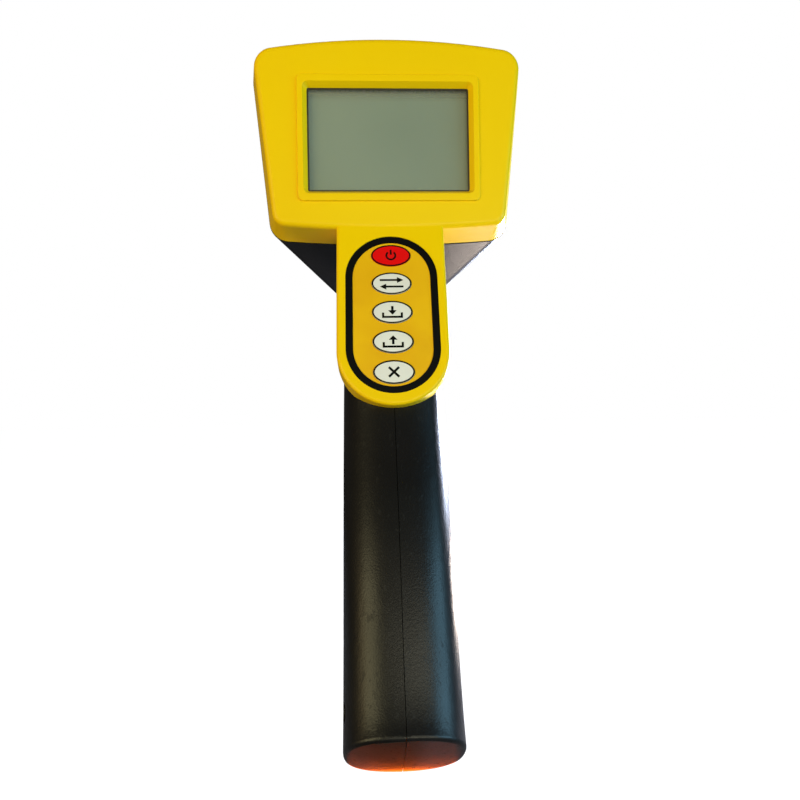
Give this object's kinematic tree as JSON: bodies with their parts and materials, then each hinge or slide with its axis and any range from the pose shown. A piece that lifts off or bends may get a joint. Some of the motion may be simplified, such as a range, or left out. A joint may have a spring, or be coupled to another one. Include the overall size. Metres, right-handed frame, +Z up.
{
  "type": "measuring wheel display handle",
  "caption": "Pistol-grip handle of a digital measuring wheel, with display window, oval key strip, rear battery door and a tube socket behind the head.",
  "frame": {"origin": "centre of the tube socket's mouth", "axes": "+Y out of the socket's mouth, away from the user; +Z up; +X to the right of the user who reads the display"},
  "size_m": [0.1064, 0.1417, 0.2614],
  "materials": {
    "yellow_cover": "satin moulded",
    "seal_rubber": "matte",
    "window_clear": "polished",
    "display_glass": "polished",
    "display_back": "matte",
    "holder_white": "moulded",
    "zebra_rubber": "matte",
    "board_green": "solder mask",
    "screw_steel": "zinc plated",
    "chip_black": "matte",
    "crystal_can": "satin",
    "plug_nylon": "moulded",
    "film_clear": "film",
    "lead_grey": "matte",
    "ring_black": "printed",
    "film_gold": "textured film",
    "dome_steel": "polished",
    "key_red": "printed film",
    "key_white": "printed film",
    "black_housing": "satin moulded",
    "socket_grey": "moulded",
    "screw_black": "blackened",
    "jack_nickel": "plated",
    "holder_black": "moulded",
    "cell_wrap": "shrink sleeve",
    "contact_nickel": "plated",
    "lead_red": "matte",
    "lead_black": "matte"
  },
  "bodies": {
    "handle": {"front_cover": "yellow_cover", "cover_seal": "seal_rubber", "window_lens": "window_clear", "lcd_front_glass": "display_glass", "lcd_rear_glass": "display_glass", "lcd_reflector": "display_back", "lcd_holder": "holder_white", "contact_strips": "zebra_rubber", "main_board": "board_green", "board_screws": "screw_steel", "controller_chip": "chip_black", "timing_crystal": "crystal_can", "buzzer": "chip_black", "board_parts": "chip_black", "sensor_plug": "plug_nylon", "ribbon_socket": "plug_nylon", "ribbon_tail": "film_clear", "sensor_lead": "lead_grey", "keypad_frame": "ring_black", "keypad_film": "film_gold", "key_spacer": "film_clear", "key_circuit": "film_clear", "key_domes": "dome_steel", "left_housing": "black_housing", "right_housing": "black_housing", "housing_screws": "screw_steel", "cover_screws": "screw_steel", "tube_socket": "socket_grey", "retainer_screws": "screw_black", "sensor_jack": "jack_nickel", "battery_tray": "holder_black", "battery_cells": "cell_wrap", "battery_plates": "contact_nickel", "battery_springs": "contact_nickel", "battery_lead_red": "lead_red", "battery_lead_black": "lead_black"},
    "key_power_cap": {"key_power": "key_red"},
    "key_units_cap": {"key_units": "key_white"},
    "key_store_cap": {"key_store": "key_white"},
    "key_recall_cap": {"key_recall": "key_white"},
    "key_clear_cap": {"key_clear": "key_white"},
    "battery_door_group": {"battery_door": "black_housing", "door_screw": "screw_steel"}
  },
  "joints": [
    {"name": "key_power_press", "type": "slide", "parent": "handle", "child": "key_power_cap", "axis": [0, 0.9613, -0.2756], "range_m": [0, 0.00035], "stiffness_N_per_m": 4000},
    {"name": "key_units_press", "type": "slide", "parent": "handle", "child": "key_units_cap", "axis": [0, 0.9613, -0.2756], "range_m": [0, 0.00035], "stiffness_N_per_m": 4000},
    {"name": "key_store_press", "type": "slide", "parent": "handle", "child": "key_store_cap", "axis": [0, 0.9613, -0.2756], "range_m": [0, 0.00035], "stiffness_N_per_m": 4000},
    {"name": "key_recall_press", "type": "slide", "parent": "handle", "child": "key_recall_cap", "axis": [0, 0.9613, -0.2756], "range_m": [0, 0.00035], "stiffness_N_per_m": 4000},
    {"name": "key_clear_press", "type": "slide", "parent": "handle", "child": "key_clear_cap", "axis": [0, 0.9613, -0.2756], "range_m": [0, 0.00035], "stiffness_N_per_m": 4000},
    {"name": "battery_door_lift", "type": "slide", "parent": "handle", "child": "battery_door_group", "axis": [0, 0.891, -0.454], "range_m": [0, 0.03]}
  ]
}
